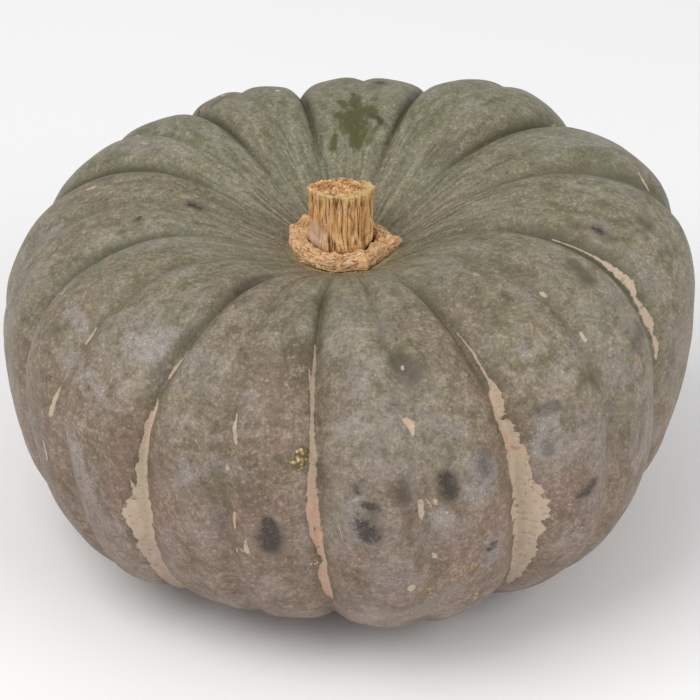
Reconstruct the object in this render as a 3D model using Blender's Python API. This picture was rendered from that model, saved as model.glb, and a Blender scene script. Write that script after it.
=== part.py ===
"""A flat ribbed pumpkin with grey-green skin, 300 mm across, resting on its lobes, with its corky stem.

The fruit is one body: ten lobes between ten grooves that run from the stem to the blossom end, and a shallow
crease along the middle of each lobe. The stem is a second body: a fluted stump and the cork collar at its foot.
Metres, +Z up. The origin is on the floor, below the middle of the fruit's box. The front is towards -Y, and an
azimuth is measured from there towards +X.
"""

import math
from typing import NamedTuple

import bmesh
import bpy
from mathutils import Vector, noise

# The lobes' outer line is a superellipse above the equator and another below it, with a dimple round the stem and
# a basin round the blossom end.
RADIUS = 0.150
SHOULDER_RISE = 0.067
SHOULDER_POWER = 2.53
BELLY_DROP = 0.107
BELLY_POWER = 2.7
DIMPLE_DEPTH = 0.0422
DIMPLE_WIDTH = 0.058
BASIN_DEPTH = 0.016
BASIN_WIDTH = 0.045
EQUATOR_HEIGHT = 0.0990

# A flat seat in the dimple carries the stem, and the grooves and the lopsidedness fade in outside it.
SEAT_RADIUS = 0.0205
SEAT_FADE = 0.022
GROOVE_FADE = 0.055

# A groove is a broad valley between two lobes with a narrow fold along its bottom.
VALLEY_DEPTH = 0.0050
VALLEY_POWER = 2.4
FOLD_DEPTH = 0.0032
FOLD_WIDTH = 0.07
GROOVE_FADE_POWER = 0.6
GROOVE_TOP_SHARE = 0.22
CREASE_WIDTH = 0.07

# The fruit grew lopsided, with its right shoulder higher than its left, and rests level all the same.
LOPSIDED = 0.049
LEVEL_BAND = 0.030

# Slow lumps on the skin.
LUMP_HEIGHT = 0.0012
LUMP_SIZE = 0.045

FRUIT_COLUMNS_PER_LOBE = 12
FRUIT_RINGS = 36
COLUMN_CROWDING = 0.5
NORMAL_STEP = 0.004


class Lobe(NamedTuple):
    """A groove and the lobe that follows it."""

    azimuth: float  # of the groove, in degrees
    lean: float  # how far the groove swings from stem to base, in degrees
    swell: float  # how far the lobe stands out, in metres
    lift: float  # how much higher the lobe sits, in metres
    crease: float  # depth of the crease along the lobe's middle, in metres


# Counter-clockwise seen from above, from the groove at the front.
LOBES = (
    Lobe(azimuth=-4.5, lean=2, swell=0.004, lift=0.0, crease=0.0030),
    Lobe(azimuth=26, lean=11, swell=0.0036, lift=0.0, crease=0.0030),
    Lobe(azimuth=67, lean=-25, swell=-0.001, lift=0.0095, crease=0.0042),
    Lobe(azimuth=130, lean=10, swell=0.0, lift=0.0092, crease=0.0016),
    Lobe(azimuth=161, lean=4, swell=0.0, lift=-0.001, crease=0.0016),
    Lobe(azimuth=189, lean=-4, swell=0.0033, lift=-0.0034, crease=0.0016),
    Lobe(azimuth=213, lean=-15, swell=-0.0030, lift=0.003, crease=0.0026),
    Lobe(azimuth=247, lean=17, swell=-0.0030, lift=-0.0036, crease=0.0026),
    Lobe(azimuth=288, lean=30, swell=0.0010, lift=0.0, crease=0.0030),
    Lobe(azimuth=327, lean=-7, swell=-0.004, lift=0.0, crease=0.0030),
)
LEAN_PIVOT = 0.3
LEAN_END = 0.65

# The stem, measured from its underside. Its stump narrows to a waist, and its torn top slopes to the back.
SEAT_GAP = 0.0004
STEM_HEIGHT = 0.0300
STEM_TOP_RADIUS = 0.0140
STEM_RIM = 0.0020
STEM_WAIST_RADIUS = 0.0138
STEM_WAIST_TOP = 0.0240
STEM_WAIST_BOTTOM = 0.0165
STEM_FOOT_RADIUS = 0.0152
STEM_FOOT_HEIGHT = 0.0085
STEM_FOOT_ROUNDING = 0.0033
STEM_TOP_SLOPE = 0.25
SLOPE_START = 0.014
SLOPE_BAND = 0.013
FLUTES = 16
FLUTE_DEPTH = 0.00045
FLUTE_BAND = 0.004
STUMP_BULGES = 3
STUMP_BULGE = 0.0005
STEM_COLUMNS = 64
MERGE_DISTANCE = 1e-6

# The cork collar is a ring round the stump's foot, with a crevice between the two.
CREVICE_RADIUS = 0.0133
CREVICE_HEIGHT = 0.0034
COLLAR_RADIUS = 0.0190
COLLAR_HALF_WIDTH = 0.0042
COLLAR_HALF_HEIGHT = 0.0034
COLLAR_INNER_RADIUS = 0.0155
COLLAR_BAND = 0.003
COLLAR_TOP = 0.010
UNDERSIDE_BAND = 0.002
COLLAR_LUMP = 0.0006
COLLAR_LUMP_SIZE = 0.006
# Azimuths of the collar's blunt corners in degrees, and how far they stand out.
COLLAR_CORNERS = (-110, -76, -42, -10, 25, 85, 150, 205)
CORNER_REACH = 0.0016
CORNER_INSET = 0.0006
CORNER_WIDTH = 11

SKIN_COLOUR = (0.16, 0.17, 0.12, 1.0)
CORK_COLOUR = (0.50, 0.30, 0.14, 1.0)


def smooth_step(value):
    """0 below 0, 1 above 1, and a smooth rise between them."""
    share = min(max(value, 0.0), 1.0)
    return share * share * (3 - 2 * share)


def crest(t):
    """(radius, height above the equator) of the lobes' outer line, t from 0 at the stem to 1 at the blossom end."""
    upper = t < 0.5
    power = SHOULDER_POWER if upper else BELLY_POWER
    radius = RADIUS * abs(math.sin(math.pi * t)) ** (2 / power)
    level = min(max(radius, SEAT_RADIUS) if upper else radius, RADIUS)
    drop = (1 - (level / RADIUS) ** power) ** (1 / power)
    if upper:
        return radius, SHOULDER_RISE * drop - DIMPLE_DEPTH * math.exp(-((level / DIMPLE_WIDTH) ** 2))
    return radius, BASIN_DEPTH * math.exp(-((radius / BASIN_WIDTH) ** 2)) - BELLY_DROP * drop


def crest_normal(t):
    """(outwards, upwards) unit normal of the lobes' outer line, from the points a little before and after."""
    before = crest(max(t - NORMAL_STEP, 0.0))
    after = crest(min(t + NORMAL_STEP, 1.0))
    out, up = before[1] - after[1], after[0] - before[0]
    length = math.hypot(out, up)
    return out / length, up / length


def sink_at(lobe, s):
    """How far the skin lies below the crest line, s from 0 at one groove to 1 at the next."""
    edge = min(s, 1 - s)
    valley = VALLEY_DEPTH * abs(2 * s - 1) ** VALLEY_POWER
    fold = FOLD_DEPTH * math.exp(-((edge / FOLD_WIDTH) ** 2))
    crease = LOBES[lobe].crease * math.exp(-(((s - 0.5) / CREASE_WIDTH) ** 2))
    return valley + fold + crease


def azimuth_at(lobe, s, t):
    """Azimuth in radians of the line a share s of the way across a lobe."""
    here, after = LOBES[lobe], LOBES[(lobe + 1) % len(LOBES)]
    turn = 360 if lobe == len(LOBES) - 1 else 0
    swing = min(t, LEAN_END) - LEAN_PIVOT
    start = here.azimuth + here.lean * swing
    end = after.azimuth + turn + after.lean * swing
    return math.radians(start + (end - start) * s)


def fruit_point(lobe, s, t):
    """A point of the skin: s across the lobe, t from the stem to the blossom end."""
    radius, height = crest(t)
    out, up = crest_normal(t)
    azimuth = azimuth_at(lobe, s, t)
    outside_seat = smooth_step((radius - SEAT_RADIUS) / SEAT_FADE) if t < 0.5 else 1.0
    around = math.sin(math.pi * t)
    past_seat = smooth_step((radius - SEAT_RADIUS) / GROOVE_FADE) if t < 0.5 else 1.0
    strength = around**GROOVE_FADE_POWER * (1 + GROOVE_TOP_SHARE * math.cos(math.pi * t)) * past_seat
    fullness = (1 - abs(2 * s - 1) ** VALLEY_POWER) * around**2
    where = Vector((math.sin(azimuth) * radius, -math.cos(azimuth) * radius, height))
    lump = LUMP_HEIGHT * noise.noise(where / LUMP_SIZE) * outside_seat * around
    offset = LOBES[lobe].swell * fullness - sink_at(lobe, s) * strength + lump
    radius += out * offset
    height += up * offset + LOBES[lobe].lift * fullness
    x, y = math.sin(azimuth) * radius, -math.cos(azimuth) * radius
    above_floor = height + EQUATOR_HEIGHT
    height += LOPSIDED * x * outside_seat * smooth_step(above_floor / LEVEL_BAND)
    return Vector((x - LOPSIDED * height, y, max(height + EQUATOR_HEIGHT, 0.0)))


def ring_share(ring):
    """t of a ring: the first lies on the seat's edge, and the others follow evenly."""
    seat = math.asin((SEAT_RADIUS / RADIUS) ** (SHOULDER_POWER / 2)) / math.pi
    return seat + (1 - seat) * (ring - 1) / (FRUIT_RINGS - 1) if ring else 0.0


def column_share(column):
    """(lobe, s) of a column. The columns crowd towards the grooves and the creases."""
    lobe, place = divmod(column, FRUIT_COLUMNS_PER_LOBE)
    even = place / FRUIT_COLUMNS_PER_LOBE
    return lobe, even - COLUMN_CROWDING * math.sin(4 * math.pi * even) / (4 * math.pi)


def fruit_mesh():
    """A ball of meridians and rings, with each vertex moved to its place on the ribbed skin."""
    columns = FRUIT_COLUMNS_PER_LOBE * len(LOBES)
    mesh = bmesh.new()
    bmesh.ops.create_uvsphere(mesh, u_segments=columns, v_segments=FRUIT_RINGS, radius=1.0)
    for vertex in mesh.verts:
        ring = round(math.acos(max(-1.0, min(1.0, vertex.co.z))) / math.pi * FRUIT_RINGS)
        turn = math.atan2(vertex.co.x, -vertex.co.y) / (2 * math.pi)
        lobe, s = column_share(round(turn * columns) % columns)
        vertex.co = fruit_point(lobe, s, ring_share(ring))
    return mesh


def arc(centre, half_width, half_height, start, end, steps):
    """(radius, height) points of an elliptic arc, start and end in degrees from straight outwards."""
    angles = [math.radians(start + (end - start) * i / steps) for i in range(steps + 1)]
    return [(centre[0] + half_width * math.cos(a), centre[1] + half_height * math.sin(a)) for a in angles]


def stem_outline():
    """(radius, height) points of the stem's half section, from the middle of its top to that of its underside."""
    rim_middle = (STEM_TOP_RADIUS - STEM_RIM, STEM_HEIGHT - STEM_RIM)
    foot_middle = (STEM_FOOT_RADIUS - STEM_FOOT_ROUNDING, STEM_FOOT_HEIGHT)
    collar_middle = (COLLAR_RADIUS, COLLAR_HALF_HEIGHT)
    return [
        (0.0, STEM_HEIGHT),
        (STEM_TOP_RADIUS / 2, STEM_HEIGHT),
        *arc(rim_middle, STEM_RIM, STEM_RIM, 90, 0, 3),
        (STEM_WAIST_RADIUS, STEM_WAIST_TOP),
        (STEM_WAIST_RADIUS, STEM_WAIST_BOTTOM),
        *arc(foot_middle, STEM_FOOT_ROUNDING, STEM_FOOT_ROUNDING, 25, -70, 4),
        (CREVICE_RADIUS, CREVICE_HEIGHT),
        *arc(collar_middle, COLLAR_HALF_WIDTH, COLLAR_HALF_HEIGHT, 160, -75, 9),
        (COLLAR_RADIUS, 0.0),
        (0.0, 0.0),
    ]


def corner_reach(azimuth):
    """How far the collar stands out at an azimuth: most at a corner, and a little in between two."""
    degrees = math.degrees(azimuth)
    nearest = min(abs((degrees - corner + 180) % 360 - 180) for corner in COLLAR_CORNERS)
    return CORNER_REACH * math.exp(-((nearest / CORNER_WIDTH) ** 2)) - CORNER_INSET


def stem_point(point):
    """Turns a point of the plain turned stem into one of the grown stem."""
    azimuth = math.atan2(point.x, -point.y)
    radius, height = math.hypot(point.x, point.y), point.z
    on_side = smooth_step((radius - STEM_TOP_RADIUS / 2) / FLUTE_BAND)
    on_stump = on_side * smooth_step((height - STEM_FOOT_HEIGHT) / FLUTE_BAND)
    below_stump = 1 - smooth_step((height - COLLAR_TOP) / FLUTE_BAND)
    off_seat = smooth_step(height / UNDERSIDE_BAND)
    on_collar = smooth_step((radius - COLLAR_INNER_RADIUS) / COLLAR_BAND) * below_stump * off_seat
    radius += FLUTE_DEPTH * math.cos(FLUTES * azimuth) * on_stump
    radius += STUMP_BULGE * math.sin(STUMP_BULGES * azimuth + 1) * smooth_step(height / STEM_HEIGHT)
    radius += corner_reach(azimuth) * on_collar
    grown = Vector((math.sin(azimuth) * radius, -math.cos(azimuth) * radius, height))
    grown.z += COLLAR_LUMP * (1 + noise.noise(grown / COLLAR_LUMP_SIZE)) * on_collar
    grown.z -= STEM_TOP_SLOPE * grown.y * smooth_step((height - SLOPE_START) / SLOPE_BAND)
    return grown


def stem_mesh():
    """The half section is turned about the axis, and the flutes, corners and lumps are raised on it."""
    mesh = bmesh.new()
    section = [mesh.verts.new((radius, 0.0, height)) for radius, height in stem_outline()]
    edges = [mesh.edges.new(pair) for pair in zip(section, section[1:])]
    bmesh.ops.spin(
        mesh,
        geom=section + edges,
        cent=(0, 0, 0),
        axis=(0, 0, 1),
        angle=2 * math.pi,
        steps=STEM_COLUMNS,
        use_merge=True,
    )
    bmesh.ops.remove_doubles(mesh, verts=mesh.verts, dist=MERGE_DISTANCE)
    for vertex in mesh.verts:
        vertex.co = stem_point(vertex.co)
    bmesh.ops.recalc_face_normals(mesh, faces=mesh.faces)
    return mesh


def material(name, colour, roughness):
    """A plain finish for the solid."""
    made = bpy.data.materials.new(name)
    made.use_nodes = True
    shader = made.node_tree.nodes["Principled BSDF"]
    shader.inputs["Base Color"].default_value = colour
    shader.inputs["Roughness"].default_value = roughness
    return made


def add_object(name, shape, finish):
    """Adds a finished bmesh to the scene as a named object."""
    mesh = bpy.data.meshes.new(name)
    shape.to_mesh(mesh)
    shape.free()
    mesh.shade_smooth()
    mesh.materials.append(finish)
    made = bpy.data.objects.new(name, mesh)
    bpy.context.scene.collection.objects.link(made)
    return made


def main():
    for old in list(bpy.data.objects):
        bpy.data.objects.remove(old)
    fruit = fruit_mesh()
    xs = [vertex.co.x for vertex in fruit.verts]
    ys = [vertex.co.y for vertex in fruit.verts]
    middle = Vector(((min(xs) + max(xs)) / 2, (min(ys) + max(ys)) / 2, 0.0))
    bmesh.ops.translate(fruit, verts=fruit.verts, vec=-middle)
    seat = fruit_point(0, 0.0, 0.0) - middle
    stem = stem_mesh()
    bmesh.ops.translate(stem, verts=stem.verts, vec=seat + Vector((0.0, 0.0, SEAT_GAP)))
    add_object("fruit", fruit, material("skin", SKIN_COLOUR, 0.55))
    add_object("stem", stem, material("cork", CORK_COLOUR, 0.9))


main()
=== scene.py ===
# %% [markdown]
# # Dressing a grey-green pumpkin
#
# A flat ribbed pumpkin has been modelled as a plain solid, with its lobes, its dimple and its short corky
# stem at their real size. These cells give it the skin, scars and cork of the real fruit, and set it on a
# pale floor under soft light. Everything is in metres with +Z up, and the front of the fruit looks towards
# -Y.
#
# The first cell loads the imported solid, which stays as it is and tells every later piece where it belongs.

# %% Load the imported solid
import math
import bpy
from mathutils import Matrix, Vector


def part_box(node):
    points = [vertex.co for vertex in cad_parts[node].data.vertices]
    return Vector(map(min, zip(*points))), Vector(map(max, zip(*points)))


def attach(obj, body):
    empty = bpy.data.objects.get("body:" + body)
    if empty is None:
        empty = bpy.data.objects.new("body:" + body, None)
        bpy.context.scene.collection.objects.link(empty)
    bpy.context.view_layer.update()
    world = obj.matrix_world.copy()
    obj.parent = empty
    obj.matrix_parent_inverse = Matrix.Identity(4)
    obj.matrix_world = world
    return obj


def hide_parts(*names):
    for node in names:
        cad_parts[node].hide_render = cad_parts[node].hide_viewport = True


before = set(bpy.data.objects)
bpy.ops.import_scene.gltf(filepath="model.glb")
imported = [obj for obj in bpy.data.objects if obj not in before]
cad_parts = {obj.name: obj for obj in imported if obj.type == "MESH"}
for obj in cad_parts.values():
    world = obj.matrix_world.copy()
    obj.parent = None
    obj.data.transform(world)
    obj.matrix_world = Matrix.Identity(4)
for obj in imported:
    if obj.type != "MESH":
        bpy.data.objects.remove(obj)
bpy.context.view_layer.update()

from types import SimpleNamespace
from typing import NamedTuple

import bmesh
import bpy
import numpy as np
from mathutils import Vector, noise
from mathutils.bvhtree import BVHTree

MM = 0.001

# %% [markdown]
# ## The camera
#
# The photographer stood well back with a long lens and looked down by 33 degrees, so the fruit shows its
# top and its front at once with little perspective. A long lens is a narrow angle: its focal length is
# given here in the photo's own pixels, and turned into Blender's millimetres by the width of the sensor.
#
# The same two values, eye and focal length, also tell where on the fruit a pixel of the photo lies. The
# marks on the skin are placed that way further down.

# %% Set up the camera
PHOTO_SIDE = 700
FOCAL_PIXELS = 3233
LOOK_DOWN = math.radians(33)
CAMERA_DISTANCE = 1.402
AIM = Vector((0.0009, 0.0015, 0.0767))

forward = Vector((0, math.cos(LOOK_DOWN), -math.sin(LOOK_DOWN)))
photo_right = Vector((1, 0, 0))
photo_down = forward.cross(photo_right)
eye = AIM - forward * CAMERA_DISTANCE


def put(name, data):
    """A new object in the scene, at the origin."""
    made = bpy.data.objects.new(name, data)
    bpy.context.scene.collection.objects.link(made)
    return made


camera = put("camera", bpy.data.cameras.new("camera"))
camera.data.lens = FOCAL_PIXELS / PHOTO_SIDE * camera.data.sensor_width
camera.location = eye
camera.rotation_euler = (math.pi / 2 - LOOK_DOWN, 0, 0)
bpy.context.scene.camera = camera


def sight_line(pixel_x, pixel_y):
    """Direction in which the camera sees a pixel of the photo."""
    across = (pixel_x - PHOTO_SIDE / 2) / FOCAL_PIXELS
    below = (pixel_y - PHOTO_SIDE / 2) / FOCAL_PIXELS
    return (forward + photo_right * across + photo_down * below).normalized()


print(f"lens {camera.data.lens:.0f} mm, eye at {[round(c, 3) for c in eye]}")

# %% [markdown]
# ## Maths in materials
#
# A material is a net of nodes, and a formula in it takes one Math node for each operation. Placed one by
# one they are tedious to write and hard to read. A small class can wrap a socket, so that Python's own
# operators add those nodes, and `1 - mask` reads as it would on paper. Every other node comes from one
# method of a second class, which stands for a whole finish.

# %% Wrap sockets and nodes
class Wire:
    """The output of a node, ready to be used in Python expressions."""

    def __init__(self, finish, socket):
        self.finish, self.socket = finish, socket

    def maths(self, operation, first, second=0.0):
        return self.finish.node("ShaderNodeMath", {"operation": operation}, {0: first, 1: second})

    def __add__(self, other):
        return self.maths("ADD", self, other)

    def __sub__(self, other):
        return self.maths("SUBTRACT", self, other)

    def __rsub__(self, other):
        return self.maths("SUBTRACT", other, self)

    def __mul__(self, other):
        return self.maths("MULTIPLY", self, other)

    __radd__ = __add__

    def __abs__(self):
        return self.maths("ABSOLUTE", self)

    def at_least(self, other):
        return self.maths("MAXIMUM", self, other)


class Finish:
    """A material in the making."""

    def __init__(self, name):
        self.material = bpy.data.materials.new(name)
        self.material.use_nodes = True
        self.tree = self.material.node_tree
        self.shader = self.tree.nodes["Principled BSDF"]
        self.shader.inputs["Specular IOR Level"].default_value = 0.3

    def connect(self, socket, value):
        """Links a wire to a socket, or sets the socket's own value."""
        if isinstance(value, Wire):
            self.tree.links.new(value.socket, socket)
        elif socket.type == "RGBA":
            socket.default_value = (*value[:3], 1.0)
        else:
            socket.default_value = value

    def node(self, kind, settings, inputs, output=0):
        """Adds a node: its settings first, then the values or links of its sockets."""
        made = self.tree.nodes.new(kind)
        for name, value in settings.items():
            setattr(made, name, value)
        for name, value in inputs.items():
            self.connect(made.inputs[name], value)
        return Wire(self, made.outputs[output])

    def place(self):
        """The object's own coordinates."""
        return self.node("ShaderNodeTexCoord", {}, {}, "Object")

    def cells(self, where, per_metre):
        """Distance from the middles of a scattered cell pattern, with so many cells to the metre."""
        return self.node("ShaderNodeTexVoronoi", {}, {"Vector": where, "Scale": per_metre}, "Distance")

    def noise(self, where, size, detail=2.0, roughness=0.5, distortion=0.0):
        """Cloudy noise around 0.5 with features of a size in metres."""
        values = {"Scale": 1 / size, "Detail": detail, "Roughness": roughness, "Distortion": distortion}
        return self.node("ShaderNodeTexNoise", {}, {"Vector": where, **values}, "Fac")

    def stretch(self, where, scale):
        """The same place with each axis multiplied."""
        return self.node("ShaderNodeMapping", {}, {"Vector": where, "Scale": scale})

    def attribute(self, name, output="Fac"):
        """A value kept on the mesh's vertices."""
        return self.node("ShaderNodeAttribute", {"attribute_name": name}, {}, output)

    def ease(self, value, low, high):
        """0 below low, 1 above high, and a smooth rise between them. A larger low makes it fall."""
        settings = {"interpolation_type": "SMOOTHSTEP"}
        return self.node("ShaderNodeMapRange", settings, {"Value": value, "From Min": low, "From Max": high})

    def ramp(self, value, low, high):
        """0 at low, 1 at high, straight between them and level beyond."""
        return self.node("ShaderNodeMapRange", {}, {"Value": value, "From Min": low, "From Max": high})

    def blend(self, first, second, share):
        """The first colour with a share of the second."""
        return self.node("ShaderNodeMix", {"data_type": "RGBA"}, {0: share, 6: first, 7: second}, 2)

    def layers(self, colour, *coats):
        """A colour under further ones, each given with its share, the uppermost last."""
        for coat, share in coats:
            colour = self.blend(colour, coat, share)
        return colour

    def surface(self, colour, roughness, height=None, depth=0.0):
        """Ends the net in the shader, with a height in shares of a depth in metres as its relief."""
        self.connect(self.shader.inputs["Base Color"], colour)
        self.connect(self.shader.inputs["Roughness"], roughness)
        if height is not None:
            relief = {"Height": height, "Distance": depth, "Strength": 1.0}
            self.connect(self.shader.inputs["Normal"], self.node("ShaderNodeBump", {}, relief))
        return self.material


print("materials can be written as formulas")

# %% [markdown]
# ## The form of the fruit
#
# The fruit is a turned shape that ten grooves divide into lobes. Its outer line is a superellipse above the
# equator and another one below it, with a dimple round the stem and a basin round the blossom end. The
# lobes differ in width and height, as on any real fruit.
#
# The solid was raised from a coarse ball by that formula. Its facets would show in a close view, and a
# subdivided copy of it would stay as smooth as putty. So the same formula is used again here on a fine
# ball, with details that the solid hasn't room for: a sharp line at the bottom of each groove, fine lumps,
# and the radial wrinkles round the stem.

# %% Repeat the fruit's driving dimensions
RADIUS = 0.150
SHOULDER_RISE = 0.067
SHOULDER_POWER = 2.53
BELLY_DROP = 0.107
BELLY_POWER = 2.7
DIMPLE_DEPTH = 0.0422
DIMPLE_WIDTH = 0.058
BASIN_DEPTH = 0.016
BASIN_WIDTH = 0.045
EQUATOR_HEIGHT = 0.0990
SEAT_RADIUS = 0.0205
SEAT_FADE = 0.022
GROOVE_FADE = 0.055
VALLEY_DEPTH = 0.0050
VALLEY_POWER = 2.4
FOLD_DEPTH = 0.0032
FOLD_WIDTH = 0.07
GROOVE_FADE_POWER = 0.6
GROOVE_TOP_SHARE = 0.22
CREASE_WIDTH = 0.07
LOPSIDED = 0.049
LEVEL_BAND = 0.030
LUMP_HEIGHT = 0.0012
LUMP_SIZE = 0.045
LEAN_PIVOT = 0.3
LEAN_END = 0.65


class Lobe(NamedTuple):
    """A groove and the lobe that follows it, counter-clockwise seen from above."""

    azimuth: float  # of the groove, in degrees from the front towards +X
    lean: float  # how far the groove swings from stem to base, in degrees
    swell: float  # how far the lobe stands out
    lift: float  # how much higher the lobe sits
    crease: float  # depth of the crease along the lobe's middle


LOBES = (
    Lobe(azimuth=-4.5, lean=2, swell=0.0040, lift=0.0, crease=0.0030),
    Lobe(azimuth=26, lean=11, swell=0.0036, lift=0.0, crease=0.0030),
    Lobe(azimuth=67, lean=-25, swell=-0.0010, lift=0.0095, crease=0.0042),
    Lobe(azimuth=130, lean=10, swell=0.0, lift=0.0092, crease=0.0016),
    Lobe(azimuth=161, lean=4, swell=0.0, lift=-0.0010, crease=0.0016),
    Lobe(azimuth=189, lean=-4, swell=0.0033, lift=-0.0034, crease=0.0016),
    Lobe(azimuth=213, lean=-15, swell=-0.0030, lift=0.0030, crease=0.0026),
    Lobe(azimuth=247, lean=17, swell=-0.0030, lift=-0.0036, crease=0.0026),
    Lobe(azimuth=288, lean=30, swell=0.0010, lift=0.0, crease=0.0030),
    Lobe(azimuth=327, lean=-7, swell=-0.0040, lift=0.0, crease=0.0030),
)
print(len(LOBES), "lobes")

# %% Write the outer line and the grooves as functions of whole arrays
def ease(value):
    """0 below 0, 1 above 1, and a smooth rise between them."""
    share = np.clip(value, 0.0, 1.0)
    return share * share * (3 - 2 * share)


def bell(value, width):
    """1 at 0, falling smoothly to nearly nothing at twice the width."""
    return np.exp(-((value / width) ** 2))


def noise_at(points, size):
    """Smooth noise between -1 and 1 at each point, with features of a size."""
    return np.array([noise.noise(point) for point in (points / size).tolist()])


def crest(t):
    """(radius, height above the equator) of the outer line, t from 0 at the stem to 1 at the blossom end."""
    upper = t < 0.5
    power = np.where(upper, SHOULDER_POWER, BELLY_POWER)
    radius = RADIUS * np.abs(np.sin(np.pi * t)) ** (2 / power)
    level = np.minimum(np.where(upper, np.maximum(radius, SEAT_RADIUS), radius), RADIUS)
    drop = (1 - (level / RADIUS) ** power) ** (1 / power)
    shoulder = SHOULDER_RISE * drop - DIMPLE_DEPTH * bell(level, DIMPLE_WIDTH)
    belly = BASIN_DEPTH * bell(radius, BASIN_WIDTH) - BELLY_DROP * drop
    return radius, np.where(upper, shoulder, belly)


def crest_normal(t):
    """(outwards, upwards) unit normal of the lobes' outer line."""
    step = 0.004
    before = crest(np.maximum(t - step, 0.0))
    after = crest(np.minimum(t + step, 1.0))
    out, up = before[1] - after[1], after[0] - before[0]
    length = np.hypot(out, up)
    return out / length, up / length


def lobe_values(name, lobe):
    """One of the lobes' values for each entry of an array of lobe numbers."""
    return np.array([getattr(one, name) for one in LOBES])[lobe % len(LOBES)]


def azimuth_at(lobe, s, t):
    """Azimuth in radians of the line a share s of the way across a lobe."""
    swing = np.minimum(t, LEAN_END) - LEAN_PIVOT
    start = lobe_values("azimuth", lobe) + lobe_values("lean", lobe) * swing
    turn = np.where(lobe == len(LOBES) - 1, 360, 0)
    end = lobe_values("azimuth", lobe + 1) + turn + lobe_values("lean", lobe + 1) * swing
    return np.radians(start + (end - start) * s)


print("outer line at the shoulder:", [round(float(value), 4) for value in crest(np.array(0.25))])

# %% [markdown]
# The fine details are heights over the plain skin. Each is a short formula: a narrow line in each groove,
# two sizes of lumps, and wrinkles that run out from the stem and fade on the shoulder.

# %% Add the fine details
FOLD_LINE_DEPTH = 0.0009
FOLD_LINE_WIDTH = 0.022
FOLD_LINE_BELLY_SHARE = 0.35
BELLY_BAND = 0.04
CREASE_LINE_DEPTH = 0.0003
CREASE_LINE_WIDTH = 0.02
TYPICAL_CREASE = 0.003
SOFT_BORDER = 1.1
SHARP_BORDER = 0.9
GROOVE_SWAY = math.radians(0.7)
GROOVE_SWAY_SIZE = 0.045
MIDDLE_LUMP_HEIGHT = 0.0005
MIDDLE_LUMP_SIZE = 0.017
SMALL_LUMP_HEIGHT = 0.00016
SMALL_LUMP_SIZE = 0.006
WRINKLE_HEIGHT = 0.0005
WRINKLE_WIDTH = 0.0075
WRINKLE_LENGTH = 0.060
WRINKLE_REACH = 0.095


def on_drum(azimuth, t, length=1.0):
    """Places on a drum as wide as the fruit, where a pattern runs together towards the stem as skin does."""
    along = np.pi * RADIUS * t / length
    return np.stack([np.sin(azimuth) * RADIUS, -np.cos(azimuth) * RADIUS, along], axis=-1)


def skin_points(lobe, s, t):
    """The finished skin's points, their azimuths, and how deep each is in a groove, its line and a crease."""
    radius, height = crest(t)
    out, up = crest_normal(t)
    azimuth = azimuth_at(lobe, s, t)
    outside_seat = np.where(t < 0.5, ease((radius - SEAT_RADIUS) / SEAT_FADE), 1.0)
    past_seat = np.where(t < 0.5, ease((radius - SEAT_RADIUS) / GROOVE_FADE), 1.0)
    around = np.sin(np.pi * np.clip(t, 0.0, 1.0 - 1e-9))
    strength = around**GROOVE_FADE_POWER * (1 + GROOVE_TOP_SHARE * np.cos(np.pi * t)) * past_seat
    fullness = (1 - np.abs(2 * s - 1) ** VALLEY_POWER) * around**2
    edge = np.minimum(s, 1 - s)
    crease = lobe_values("crease", lobe)
    sink = VALLEY_DEPTH * np.abs(2 * s - 1) ** VALLEY_POWER + FOLD_DEPTH * bell(edge, FOLD_WIDTH)
    sink = sink + crease * bell(s - 0.5, CREASE_WIDTH)
    line_share = FOLD_LINE_BELLY_SHARE + (1 - FOLD_LINE_BELLY_SHARE) * ease(height / BELLY_BAND + 0.5)
    sink = sink + FOLD_LINE_DEPTH * bell(edge, FOLD_LINE_WIDTH) * line_share
    sink = sink + CREASE_LINE_DEPTH * bell(s - 0.5, CREASE_LINE_WIDTH)
    where = np.stack([np.sin(azimuth) * radius, -np.cos(azimuth) * radius, height], axis=-1)
    lumps = LUMP_HEIGHT * noise_at(where, LUMP_SIZE)
    lumps = lumps + MIDDLE_LUMP_HEIGHT * noise_at(where + 1, MIDDLE_LUMP_SIZE)
    lumps = lumps + SMALL_LUMP_HEIGHT * noise_at(where + 2, SMALL_LUMP_SIZE)
    near_stem = np.where(t < 0.5, 1 - ease((radius - SEAT_RADIUS) / WRINKLE_REACH), 0.0)
    wrinkles = noise_at(on_drum(azimuth, t, WRINKLE_LENGTH / WRINKLE_WIDTH), WRINKLE_WIDTH)
    offset = lobe_values("swell", lobe) * fullness - sink * strength + lumps * outside_seat * around
    offset = offset + WRINKLE_HEIGHT * wrinkles * near_stem
    radius = radius + out * offset
    height = height + up * offset + lobe_values("lift", lobe) * fullness
    azimuth = azimuth + GROOVE_SWAY * noise_at(where + 3, GROOVE_SWAY_SIZE) * around
    x, y = np.sin(azimuth) * radius, -np.cos(azimuth) * radius
    height = height + LOPSIDED * x * outside_seat * ease((height + EQUATOR_HEIGHT) / LEVEL_BAND)
    points = np.stack([x - LOPSIDED * height, y, np.maximum(height + EQUATOR_HEIGHT, 0.0)], axis=-1)
    folds = {
        "groove": bell(edge, FOLD_WIDTH * SOFT_BORDER) * strength,
        "fold_line": bell(edge, FOLD_LINE_WIDTH * SHARP_BORDER) * strength,
        "crease": bell(s - 0.5, CREASE_WIDTH * SOFT_BORDER) * strength * crease / TYPICAL_CREASE,
    }
    return points, azimuth, folds


deepest = FOLD_LINE_DEPTH + MIDDLE_LUMP_HEIGHT
print("the fine details add up to", round(deepest / MM, 1), "mm at most in a groove")

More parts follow.
